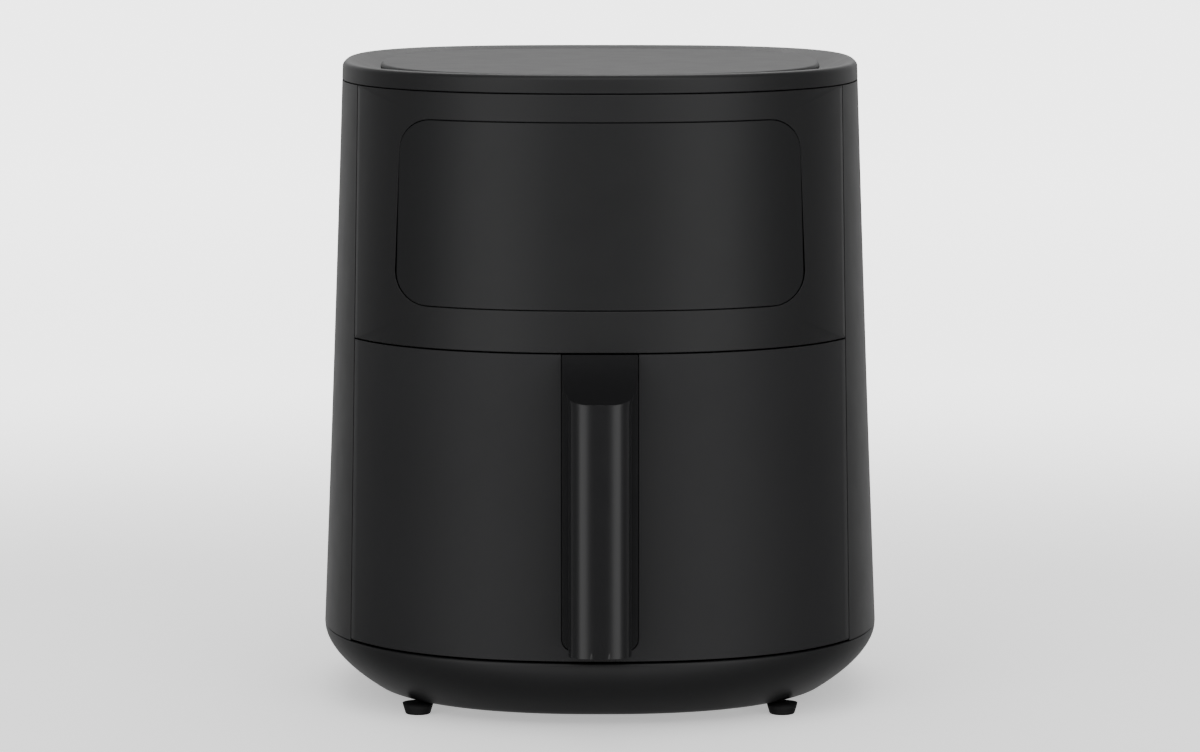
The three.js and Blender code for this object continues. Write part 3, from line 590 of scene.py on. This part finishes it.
def pan():
    """The pan: a round-cornered tray with a rolled rim, its wall drawn in slightly towards the floor."""
    low, high, half = PAN_LOW[2], PAN_HIGH[2], PAN_HIGH[0]
    profile = polyline(
        (0, low), (half - 20 * MM, low),
        arc(half - 19.4 * MM, low + 12 * MM, 12 * MM, -90, -8, 8),
        (half - 5.4 * MM, high - 4 * MM), arc(half - 3.4 * MM, high - 4.4 * MM, 1.6 * MM, 170, 90, 4),
        arc(half - 1.5 * MM, high - 1.5 * MM, 1.5 * MM, -70, 90, 8),
        arc(half - 4.5 * MM, high - 2 * MM, 2 * MM, 90, 172, 6),
        arc(half - 19.4 * MM, low + 12 * MM, 10.4 * MM, -8, -90, 8),
        (0, low + 1.6 * MM),
    )
    points, faces = turned(profile, **PAN_PLAN)
    return piece("pan_shell", points, faces, "drawer", "coated_steel", replaces=["pan"])


# ---- Crisper plate ----

PLATE_HALF = 94 * MM
PLATE_RATIO = 96 / 94
PLATE_POWER = 4.5
RIBS = 14
SWIRL = 0.42           # how far a rib turns on its way out, in radians
PLATE_CENTRE = (PLATE_LOW[1] + PLATE_HIGH[1]) / 2


def crisper_plate():
    """The pressed plate: an oval boss, ribs that swirl outwards with slots between them, and a rolled rim.

    At an angle t its plan reaches (|cos t|^p + |sin t|^p)^(-1/p) times the half-width, where p grows from 2
    at the boss to the rim's power.
    """
    sheet = 1.4 * MM
    boss, ribs, rim = np.linspace(0.02, 0.3, 12), np.linspace(0.32, 0.8, 40), np.linspace(0.82, 1, 18)
    share = np.concatenate([boss, ribs, rim])
    turn = np.linspace(0, 2 * np.pi, RIBS * 20, endpoint=False)[:, None]
    bent = turn + SWIRL * smooth(0.25, 0.85, share)[None, :]
    power = 2 + (PLATE_POWER - 2) * smooth(0.3, 0.9, share)[None, :]
    across, along = np.cos(bent), np.sin(bent)
    stretch = (np.abs(across) ** power + np.abs(along) ** power) ** (-1 / power)
    reach = PLATE_HALF * share[None, :] * stretch
    x, y = reach * across, reach * PLATE_RATIO * along + PLATE_CENTRE
    ribbed = smooth(0.28, 0.36, share) * (1 - smooth(0.76, 0.84, share))
    wave = np.cos(RIBS * turn)
    height = PLATE_LOW[2] + 0.4 * MM + 4.2 * MM * (1 - smooth(0.22, 0.29, share))[None, :]
    height = height + 2.4 * MM * ribbed[None, :] * smooth(-0.5, 0.6, wave)
    height = height + 5.2 * MM * (smooth(0.84, 0.93, share) - 0.35 * smooth(0.975, 1, share))[None, :]
    outer = np.stack([x, y, height + sheet], axis=-1)
    inner = np.stack([x, y, height], axis=-1)
    low_wave = (wave < -0.72) & (np.roll(wave, -1, axis=0) < -0.72)
    band = ((share > 0.36) & (share < 0.52)) | ((share > 0.58) & (share < 0.75))
    keep = ~(low_wave & band[None, :-1] & band[None, 1:])
    points, faces = wall(outer, inner, keep, wrap=True)
    hub_points, hub_faces = hub(share[0], height[0, 0], sheet)
    points = np.concatenate([points, hub_points])
    faces = np.concatenate([faces, hub_faces + len(points) - len(hub_points)])
    return piece("crisper_sheet", points, faces, "crisper", "coated_steel", 0.0, ["crisper_plate"])


def hub(share, low, sheet):
    """A small closed disc that fills the middle of the plate's boss."""
    radius = PLATE_HALF * share * 1.04
    bottom, top = low - 0.05 * MM, low + sheet + 0.05 * MM
    profile = polyline((0, bottom), (radius, bottom), (radius, top), (0, top))
    points, faces = turned(profile, segments=24, ratio=PLATE_RATIO, front=2, back=2, centre=PLATE_CENTRE)
    return points, faces


def plate_wing(side):
    """One side wing: half an ellipse beyond the rim, with two oblong holes."""
    reach, deep = 110 * MM, 52 * MM
    first = PLATE_HALF - 2.5 * MM
    hole_x = np.array([99, 105]) * MM
    hole_y = np.array([9, 19]) * MM
    limit = deep * math.sqrt(1 - (first / reach) ** 2)
    y = np.unique(np.concatenate([np.linspace(-limit, limit, 41), hole_y, -hole_y]).round(6))
    edge = reach * np.sqrt(1 - (y / deep) ** 2)
    hole_share = (hole_x - first) / (reach - first)
    share = np.array([0, 0.18, hole_share[0], 0.5, hole_share[1], 0.85, 1])
    x = first + share[None, :] * (np.maximum(edge, first + 0.2 * MM) - first)[:, None]
    middle = np.abs(y[:-1] + y[1:]) / 2
    keep = np.ones((len(y) - 1, len(share) - 1), dtype=bool)
    keep[(middle > hole_y[0]) & (middle < hole_y[1]), 2:4] = False
    spread_y = np.broadcast_to((y + PLATE_CENTRE)[:, None], x.shape)
    top = PLATE_HIGH[2] - 0.5 * MM
    outer = np.stack([side * x, spread_y, np.full(x.shape, top)], axis=-1)
    inner = outer - (0, 0, 1.4 * MM)
    points, faces = wall(outer, inner, keep)
    name = "wing_right" if side > 0 else "wing_left"
    return piece(name, points, faces, "crisper", "coated_steel", 0.35 * MM)


def plate_foot(name):
    """A soft corner foot: a block under the plate, a neck through it and a cap on top, with round edges."""
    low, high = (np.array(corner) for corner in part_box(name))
    block = (high[0] - low[0]) / 2 - 0.5 * MM
    cap = block + 0.5 * MM
    soft = 1.2 * MM
    under = low[2] + 9.6 * MM
    over = high[2] - 2.5 * MM
    profile = polyline(
        (0, low[2]), arc(block - soft, low[2] + soft, soft, -90, 0, 5), (block, under),
        (block - 2.5 * MM, under), (block - 2.5 * MM, over),
        (cap, over), arc(cap - soft, high[2] - soft, soft, 0, 90, 5), (0, high[2]),
    )
    points, faces = turned(profile, segments=64, ratio=1, front=6, back=6, centre=0)
    middle = (low + high) / 2
    points = points + (middle[0], middle[1], 0)
    return piece(name + "_block", points, faces, "crisper", "rubber", replaces=[name])


# ---- Bay ----

BAY_HALF = LINER_HIGH[0]
BAY_RATIO = (LINER_HIGH[1] - CENTRE_Y) / BAY_HALF


def bay_liner():
    """The bay's lining: a U in plan, open to the front, with a curved back."""
    start = -math.asin(((CENTRE_Y - LINER_LOW[1]) / (BAY_HALF * BAY_RATIO)) ** 2)
    turn = np.linspace(start, np.pi - start, 130)[:, None]
    z = np.linspace(LINER_LOW[2], LINER_HIGH[2], 12)

    def at(reach):
        x, y = oval(turn, np.full_like(z, reach), ratio=BAY_RATIO, front=4, back=5)
        return np.stack([x, y, np.broadcast_to(z, x.shape)], axis=-1)

    points, faces = wall(at(BAY_HALF), at(BAY_HALF - 1.6 * MM))
    return piece("liner", points, faces, "housing", "bay_plastic", 0.3 * MM, ["bay_liner"])


def shelf(name, half, columns, rows, back, low, high, gaps, body, slot, replaces):
    """A level shelf behind a curved front edge: rows at set distances from it, the last on the back line.

    Gaps are (x start, x end, row start, row end). Each is a slot that follows the edge, and a backing sheet
    closes it from below.
    """
    x = np.unique(np.concatenate([columns, [end for gap in gaps for end in gap[:2]]]).round(7))
    edge = front_y(x, half)
    room = back(x) - edge
    reach = np.minimum(np.array(rows)[None, :], room[:, None])
    y = np.concatenate([edge[:, None] + reach, (edge + room)[:, None]], axis=1)
    plan = np.stack([np.broadcast_to(x[:, None], y.shape), y], axis=-1)
    top = np.concatenate([plan, np.full((*y.shape, 1), high)], axis=-1)
    under = np.concatenate([plan, np.full((*y.shape, 1), low)], axis=-1)
    keep = np.ones((len(x) - 1, y.shape[1] - 1), dtype=bool)
    middle = (x[:-1] + x[1:]) / 2
    for start, end, first, last in gaps:
        keep[(middle > start) & (middle < end), first:last] = False
    backing = under + (0, 0, 0.8 * MM)
    points, faces = wall(backing, under)
    piece(name + "_backing", points, faces, body, slot)
    points, faces = wall(top, backing + (0, 0, 0.05 * MM), keep)
    return piece(name, points, faces, body, slot, 0.35 * MM, replaces)


def stud(name, x, y, low, high, radius, body, slot):
    """A round stud with a soft top edge."""
    soft = 0.4 * MM
    profile = polyline((0, low), (radius, low), arc(radius - soft, high - soft, soft, 0, 90, 5), (0, high))
    points, faces = turned(profile, segments=28, **ROUND)
    return piece(name, points + (x, y, 0), faces, body, slot)


def front_sill():
    """The sill at the bay's mouth: a shelf with four long slots, and three studs."""
    top = SILL_HIGH[2] - 1.2 * MM
    half = HALF_WIDTH - 4.8 * MM
    slot_half = 10.5 * MM
    gaps = [(x * MM - slot_half, x * MM + slot_half, 3, 4) for x in (-79.5, -33.5, 33.5, 79.5)]
    columns = np.linspace(SILL_LOW[0] + 0.6 * MM, SILL_HIGH[0] - 0.6 * MM, 97)
    rows = np.array([0, 2.5, 5, 9.6, 12.4, 17, 24, 32]) * MM

    def back(x):
        return np.full_like(x, SILL_HIGH[1] - 0.1 * MM)

    shelf("sill", half, columns, rows, back, top - 2.6 * MM, top, gaps, "housing", "dark_plastic",
          ["front_sill"])
    for side, x in (("left", -94 * MM), ("middle", 0.0), ("right", 94 * MM)):
        y = float(front_y(x, half)) + 22 * MM
        stud("sill_stud_" + side, x, y, top - 1 * MM, SILL_HIGH[2], 2.2 * MM, "housing", "dark_plastic")


def bay_floor():
    """The bay's floor: level, squared off at the front and curved at the back, with a shallow oval dish.

    The plan's powers and depth ratio change smoothly from the dish's oval to the floor's own outline.
    """
    half, low, high = FLOOR_HIGH[0], FLOOR_LOW[2], FLOOR_HIGH[2]
    profile = polyline(
        (0, low), (half, low), (half, high - 0.4 * MM), (half - 0.4 * MM, high),
        (88 * MM, high), (85.5 * MM, high - 0.3 * MM), (84 * MM, high - 0.8 * MM), (82 * MM, high - 1 * MM),
        (0, high - 1 * MM),
    )
    turn = np.linspace(0, 2 * np.pi, 180, endpoint=False)[:, None]
    reach = profile[None, :, 0]
    dish = smooth(80 * MM, half, reach)
    front = (CENTRE_Y - FLOOR_LOW[1]) / half
    dish_front, dish_back = 0.72, 0.8
    front_ratio = dish_front + (front - dish_front) * dish
    back_ratio = dish_back + (BAY_RATIO - dish_back) * dish
    ratio = np.where(np.sin(turn) < 0, front_ratio, back_ratio)
    x, y = oval(turn, reach, ratio=ratio, front=2 + 8 * dish, back=2 + 3 * dish)
    points = np.stack([x, y, np.broadcast_to(profile[None, :, 1], x.shape)], axis=-1)
    faces = grid_faces(*x.shape, wrap_rows=True).reshape(-1, 4)
    return piece("bay_tray", points.reshape(-1, 3), faces, "housing", "bay_plastic", replaces=["bay_floor"])


def drawer_ledge():
    """The ledge between the drawer's cover and the pan: a shelf with slots, a centre plate and two studs."""
    top = LEDGE_HIGH[2] - 1 * MM
    half = half_width(top) - WALL - 0.7 * MM
    gaps = [((x - length / 2) * MM, (x + length / 2) * MM, 2, 3)
            for x, length in ((-101, 14), (-48.5, 19), (48.5, 19), (101, 14))]
    gaps.append((-CHANNEL_HALF, CHANNEL_HALF, 0, 1))
    rim = PAN_HIGH[0] + 0.8 * MM
    power = PAN_PLAN["front"]

    def pan_edge(x):
        share = np.clip(1 - np.abs(x / rim) ** power, 0, None) ** (1 / power)
        back = np.minimum(PAN_PLAN["centre"] - rim * PAN_PLAN["ratio"] * share, LEDGE_HIGH[1])
        return np.maximum(back, front_y(x, half) + 0.2 * MM)

    rows = np.array([0, 3, 5.5, 8.5, 10.5, 13]) * MM
    end = LEDGE_HIGH[0] + 8 * MM
    columns = np.linspace(-end, end, 129)
    shelf("ledge", half, columns, rows, pan_edge, top - 2.4 * MM, top, gaps, "drawer", "dark_plastic",
          ["drawer_ledge"])
    for side, x in (("left", -77 * MM), ("right", 77 * MM)):
        y = float(front_y(x, half)) + 11 * MM
        stud("ledge_stud_" + side, x, y, top - 1 * MM, LEDGE_HIGH[2], 3.2 * MM, "drawer", "dark_plastic")
    plate = rounded_fill(25 * MM, 25 * MM, 0, 13 * MM, 2.5 * MM, across=12, rows=8)
    start = float(front_y(0.0, half)) + 4.2 * MM
    height = np.full(plate.shape[:2], top + 0.8 * MM)
    flat = np.stack([plate[..., 0], plate[..., 1] + start, height], axis=-1)
    points, faces = wall(flat, flat - (0, 0, 1.2 * MM))
    piece("ledge_plate", points, faces, "drawer", "dark_plastic", 0.3 * MM)


def rear_vent():
    """The exhaust vent: a plate that follows the back wall, with two columns of level slots."""
    low, high = VENT_LOW + 0.2 * MM, VENT_HIGH - 0.2 * MM
    slots, pitch, tall = 6, 11 * MM, 5 * MM
    slot_low = np.arange(slots)[:, None] * pitch + low[2] + 6 * MM
    z = np.unique(np.concatenate([[low[2], high[2]], (slot_low + [0, tall]).ravel()]).round(7))
    z = np.sort(np.concatenate([z, (z[:-1] + z[1:]) / 2]))
    side = np.array([3 * MM, high[0] - 7 * MM, high[0]])
    x = np.unique(np.concatenate([side, -side, np.linspace(-high[0], high[0], 41)]).round(7))

    def on_back(depth):
        half = half_width(z)[None, :] - depth
        share = np.clip(1 - np.abs(x[:, None] / half) ** BACK_POWER, 0, None)
        y = CENTRE_Y + half * DEPTH_RATIO * share ** (1 / BACK_POWER)
        return np.stack([np.broadcast_to(x[:, None], y.shape), y, np.broadcast_to(z, y.shape)], axis=-1)

    across = np.abs(x[:-1] + x[1:]) / 2
    up = (z[:-1] + z[1:]) / 2
    in_slot = ((up > slot_low) & (up < slot_low + tall)).any(axis=0)
    keep = ~(((across > side[0]) & (across < side[1]))[:, None] & in_slot[None, :])
    points, faces = wall(on_back(0.6 * MM), on_back(WALL), keep)
    return piece("vent_grille", points, faces, "housing", "dark_plastic", 0.4 * MM, ["rear_vent"])


def cord_gland():
    """The cord gland: a stepped bush in the back of the base, its bore open."""
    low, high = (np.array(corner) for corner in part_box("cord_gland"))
    end, soft = high[1], 0.8 * MM
    bore, neck, nose, flange = 3.6 * MM, 6 * MM, 6.8 * MM, 9 * MM
    profile = polyline(
        (bore, low[1]), (neck, low[1]), (neck, end - 7.4 * MM), (flange - soft, end - 7.4 * MM),
        arc(flange - soft, end - 4.8 * MM, soft, 0, 90, 6), (nose, end - 3.9 * MM),
        arc(nose - soft, end - soft, soft, 0, 90, 6), arc(bore + soft, end - soft, soft, 90, 180, 6),
    )
    points, faces = turned(profile, closed=True, segments=56, **ROUND)
    points = np.stack([points[:, 0], points[:, 2], points[:, 1] + (low[2] + high[2]) / 2], axis=-1)
    return piece("gland", points, faces, "housing", "rubber", replaces=["cord_gland"])


def build():
    """Makes every piece that takes a CAD node's place."""
    front_sill()
    bay_floor()
    drawer_ledge()
    rear_vent()
    cord_gland()
    bay_liner()
    crisper_plate()
    plate_wing(1)
    plate_wing(-1)
    for corner in CORNERS:
        plate_foot("plate_foot_" + corner)
    casing()
    fascia()
    lens()
    lens_seat()
    top_ring()
    top_panel()
    base_tray()
    for corner in CORNERS:
        foot("foot_" + corner)
    drawer_front()
    handle()
    handle_plate()
    channel_seat()
    pan()


build()

# ---- Studio ----


def curve_of(tree, value, stops):
    """Runs a value through a soft curve, given as pairs of position and level."""
    ramp = tree.nodes.new("ShaderNodeValToRGB")
    ramp.color_ramp.interpolation = "EASE"
    points = ramp.color_ramp.elements
    while len(points) < len(stops):
        points.new(0.5)
    top = max(level for _, level in stops)
    for point, (position, level) in zip(points, stops):
        point.position = position
        point.color = (level / top, level / top, level / top, 1)
    scale = tree.nodes.new("ShaderNodeMath")
    scale.operation = "MULTIPLY"
    scale.inputs[1].default_value = top
    tree.links.new(value, ramp.inputs["Fac"])
    tree.links.new(ramp.outputs["Color"], scale.inputs[0])
    return scale.outputs[0]


# Light from the surround, as pairs: how far a direction points to the front, from 0 to 1, and its level.
SURROUND = (
    (0.0, 0.95), (0.12, 0.7), (0.3, 0.34), (0.54, 0.36),
    (0.7, 0.85), (0.84, 3.3), (0.94, 3.0), (1.0, 0.25),
)
BACKDROP = 3.0
FLOOR_HALF = 20.0
GLOW_REACH = 4.0        # where the floor is at its lightest
FLOOR_GLOW = ((0.0, 0.5), (0.12, 0.6), (0.4, 2.2), (1.0, 3.0))
CAMERA_LENS = 161       # in millimetres, on a sensor 36 mm wide
CAMERA_AWAY = 3.0
CAMERA_HEIGHT = 0.523
AIM_HEIGHT = 0.176


def floor():
    """A pale floor that grows lighter away from the object."""
    mesh = bpy.data.meshes.new("floor")
    corners = [(x * FLOOR_HALF, y * FLOOR_HALF, 0) for x, y in ((-1, -1), (1, -1), (1, 1), (-1, 1))]
    mesh.from_pydata(corners, [], [(0, 1, 2, 3)])
    obj = bpy.data.objects.new("floor", mesh)
    bpy.context.scene.collection.objects.link(obj)
    material, tree, shader = principled("floor")
    paper = tinted(tree, noise(tree, 2, 2), (0.86, 0.86, 0.86), (0.88, 0.88, 0.88))
    tree.links.new(paper, shader.inputs["Base Color"])
    shader.inputs["Roughness"].default_value = 0.8
    shader.inputs["Specular IOR Level"].default_value = 0.1
    place = tree.nodes.new("ShaderNodeTexCoord")
    reach = tree.nodes.new("ShaderNodeVectorMath")
    reach.operation = "LENGTH"
    away = tree.nodes.new("ShaderNodeMapRange")
    away.inputs["From Max"].default_value = GLOW_REACH
    tree.links.new(place.outputs["Object"], reach.inputs[0])
    tree.links.new(reach.outputs["Value"], away.inputs["Value"])
    glow = curve_of(tree, away.outputs["Result"], FLOOR_GLOW)
    shader.inputs["Emission Color"].default_value = (1, 1, 1, 1)
    tree.links.new(glow, shader.inputs["Emission Strength"])
    mesh.materials.append(material)
    obj.visible_glossy = False


def surround():
    """The light all round: strong from the front, weak from the sides, and dimmer from below the horizon.

    What is seen directly is a plain backdrop.
    """
    world = bpy.data.worlds.new("surround")
    world.use_nodes = True
    tree = world.node_tree
    back = tree.nodes["Background"]
    back.inputs["Color"].default_value = (1, 1, 1, 1)
    place = tree.nodes.new("ShaderNodeTexCoord")
    split = tree.nodes.new("ShaderNodeSeparateXYZ")
    facing = tree.nodes.new("ShaderNodeMapRange")
    facing.inputs["From Min"].default_value = 1.0
    facing.inputs["From Max"].default_value = -1.0
    tree.links.new(place.outputs["Generated"], split.inputs["Vector"])
    tree.links.new(split.outputs["Y"], facing.inputs["Value"])
    height = tree.nodes.new("ShaderNodeMapRange")
    height.inputs["From Min"].default_value = -0.45
    height.inputs["From Max"].default_value = 0.05
    height.inputs["To Min"].default_value = 0.6
    level = tree.nodes.new("ShaderNodeMath")
    level.operation = "MULTIPLY"
    tree.links.new(split.outputs["Z"], height.inputs["Value"])
    tree.links.new(curve_of(tree, facing.outputs["Result"], SURROUND), level.inputs[0])
    tree.links.new(height.outputs["Result"], level.inputs[1])
    tree.links.new(level.outputs[0], back.inputs["Strength"])
    plain = tree.nodes.new("ShaderNodeBackground")
    plain.inputs["Strength"].default_value = BACKDROP
    direct = tree.nodes.new("ShaderNodeLightPath")
    choose = tree.nodes.new("ShaderNodeMixShader")
    tree.links.new(direct.outputs["Is Camera Ray"], choose.inputs["Fac"])
    tree.links.new(back.outputs["Background"], choose.inputs[1])
    tree.links.new(plain.outputs["Background"], choose.inputs[2])
    tree.links.new(choose.outputs["Shader"], tree.nodes["World Output"].inputs["Surface"])
    bpy.context.scene.world = world


def look(direction):
    """The Euler turn that points an object's -Z along a direction, with its Y upwards."""
    x, y, z = direction / np.linalg.norm(direction)
    return (math.acos(-z), 0.0, math.atan2(y, x) - math.pi / 2)


def softbox(name, place, aim, size, power):
    """A soft rectangular light, turned to a point."""
    light = bpy.data.lights.new(name, "AREA")
    light.shape = "RECTANGLE"
    light.size, light.size_y = size
    light.energy = power
    obj = bpy.data.objects.new(name, light)
    bpy.context.scene.collection.objects.link(obj)
    obj.location = place
    obj.rotation_euler = look(np.array(aim) - np.array(place))


def studio():
    """The floor, the surround, two soft lights and the camera."""
    floor()
    surround()
    softbox("overhead_box", place=(0, 0.1, 2.4), aim=(0, 0, 0), size=(2.4, 2.2), power=15)
    softbox("rear_box", place=(0, 2.2, 2.2), aim=(0, 0, 0.1), size=(2.4, 1.4), power=30)
    camera = bpy.data.cameras.new("camera")
    camera.lens = CAMERA_LENS
    camera.sensor_width = 36
    camera.clip_end = 100
    obj = bpy.data.objects.new("camera", camera)
    bpy.context.scene.collection.objects.link(obj)
    obj.location = (0, CENTRE_Y - CAMERA_AWAY, CAMERA_HEIGHT)
    obj.rotation_euler = look(np.array([0, CAMERA_AWAY, AIM_HEIGHT - CAMERA_HEIGHT]))
    bpy.context.scene.camera = obj


studio()
